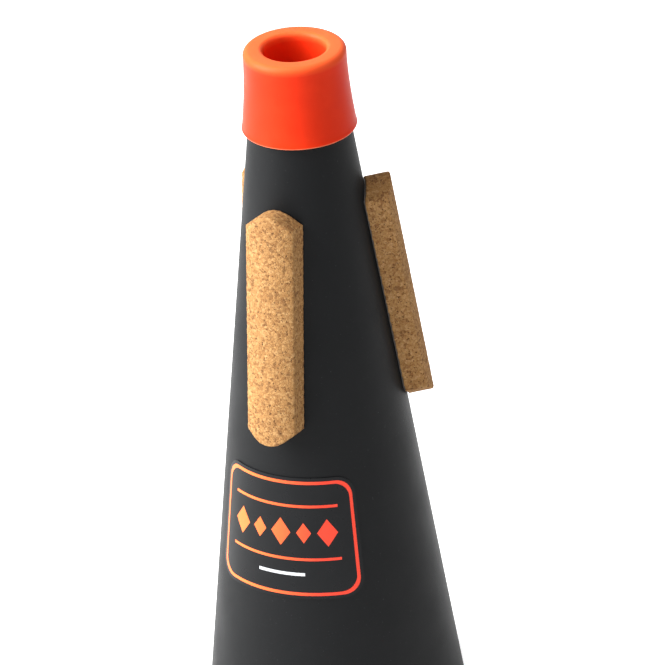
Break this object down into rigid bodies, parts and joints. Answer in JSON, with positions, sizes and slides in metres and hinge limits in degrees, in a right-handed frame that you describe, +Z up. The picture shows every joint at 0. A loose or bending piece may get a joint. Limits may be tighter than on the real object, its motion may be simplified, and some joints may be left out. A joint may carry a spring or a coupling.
{
  "type": "trumpet straight mute",
  "caption": "Slim conical straight mute for a trumpet, with cork strips that grip the bell, a closed wide end and a push-on rubber bumper cap with an open bore.",
  "frame": {"origin": "centre of the wide end's standing face, on the table", "axes": "+Z up along the cone's axis to the narrow, open end; -Y is the front, with the label and the first cork strip"},
  "size_m": [0.0646, 0.0646, 0.18],
  "materials": {
    "shell": "soft matte black moulding with a fine grain",
    "end_plate": "soft matte black moulding",
    "bumper": "satin orange-red moulded elastomer",
    "cork": "agglomerated cork, fine granules, cut and sanded",
    "adhesive": "set adhesive, amber",
    "label": "thin glossy dark film with plain orange and white printing"
  },
  "bodies": {
    "mute": {"body_cone": "shell", "end_plate": "end_plate", "plate_glue_bead": "adhesive", "cork_strip_1": "cork", "cork_strip_2": "cork", "cork_strip_3": "cork", "cork_adhesive_1": "adhesive", "cork_adhesive_2": "adhesive", "cork_adhesive_3": "adhesive", "label_film": "label"},
    "cap": {"bumper_cap": "bumper"}
  },
  "joints": [
    {"name": "cap_pull_off", "type": "slide", "parent": "mute", "child": "cap", "axis": [0, 0, 1], "range_m": [0, 0.03]}
  ]
}
